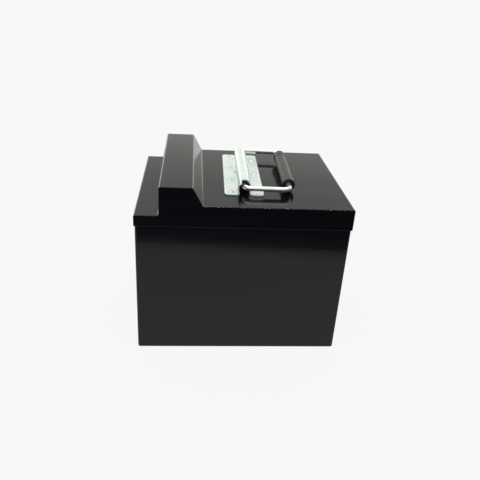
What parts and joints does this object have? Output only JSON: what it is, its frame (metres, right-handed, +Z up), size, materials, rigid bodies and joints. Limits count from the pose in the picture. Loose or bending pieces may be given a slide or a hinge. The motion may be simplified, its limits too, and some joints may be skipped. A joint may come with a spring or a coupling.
{
  "type": "battery pack",
  "caption": "Rechargeable battery pack in a gloss-black folded steel case with a stepped lid, side sockets and a fold-flat sprung carrying handle.",
  "frame": {"origin": "middle of the footprint on the base", "axes": "+Z up; -Y the front face; -X the end with the low ledge and the raised socket housing; +X the end the handle lies towards"},
  "size_m": [0.26, 0.2184, 0.2243],
  "materials": {
    "black_paint": "gloss black powder coat on folded sheet steel",
    "black_screw": "black-oxide steel, satin",
    "zinc_plate": "bright zinc-plated steel",
    "bright_rod": "bright plated round bar",
    "grip_rubber": "moulded black rubber, satin",
    "nylon": "moulded black nylon",
    "rivet_steel": "zinc-plated blind rivet",
    "socket_plastic": "moulded black nylon",
    "contact_brass": "tinned brass",
    "cell_film": "blue film over an aluminium can",
    "terminal_alloy": "turned and extruded aluminium",
    "copper": "nickel-flashed copper bar",
    "bolt_steel": "stainless steel",
    "foam": "closed-cell foam",
    "insulating_board": "glass-fibre laminate",
    "circuit_board": "green solder mask",
    "transistor_epoxy": "moulded epoxy",
    "red_lead": "silicone insulation",
    "black_lead": "silicone insulation",
    "loom_sleeve": "braided sleeve"
  },
  "bodies": {
    "case": {"bail_bush_front": "nylon", "bail_bush_rear": "nylon", "balance_header": "socket_plastic", "balance_loom": "loom_sleeve", "base_pad": "foam", "bms_board": "circuit_board", "bms_heat_sink": "terminal_alloy", "bms_standoffs": "rivet_steel", "bms_transistors": "transistor_epoxy", "board_spacers": "nylon", "case_body": "black_paint", "cell_01": "cell_film", "cell_02": "cell_film", "cell_03": "cell_film", "cell_04": "cell_film", "cell_05": "cell_film", "cell_06": "cell_film", "cell_07": "cell_film", "cell_08": "cell_film", "cell_09": "cell_film", "cell_10": "cell_film", "cell_11": "cell_film", "cell_12": "cell_film", "cell_13": "cell_film", "cell_14": "cell_film", "cell_15": "cell_film", "cell_16": "cell_film", "cell_links": "copper", "cell_pads": "foam", "cell_posts": "terminal_alloy", "centre_board": "insulating_board", "charge_inlet": "socket_plastic", "charge_leads": "black_lead", "charge_pins": "contact_brass", "discharge_contacts": "contact_brass", "discharge_socket": "socket_plastic", "end_boards": "insulating_board", "handle_plate": "zinc_plate", "handle_rivets": "rivet_steel", "lead_lugs": "copper", "lead_output_negative": "black_lead", "lead_pack_negative": "black_lead", "lead_pack_positive": "red_lead", "lid": "black_paint", "lid_screws": "black_screw", "link_bolts": "bolt_steel", "return_spring": "zinc_plate", "rim_nuts": "zinc_plate", "rivet_stems": "rivet_steel", "side_boards": "insulating_board", "socket_nuts": "zinc_plate", "socket_screws": "black_screw", "strap_lower": "zinc_plate", "strap_upper": "zinc_plate", "temperature_sensor": "loom_sleeve", "top_board": "insulating_board", "wall_pads": "foam"},
    "bail": {"handle_bail": "bright_rod", "handle_grip": "grip_rubber"}
  },
  "joints": [
    {"name": "handle_fold", "type": "hinge", "parent": "case", "child": "bail", "pos_m": [0.00273, 0.0015, 0.2117], "axis": [-0.0227, -0.9995, -0.0236], "range_deg": [0, 90], "stiffness_Nm_per_rad": 0.15, "springref_deg": -126.05}
  ]
}
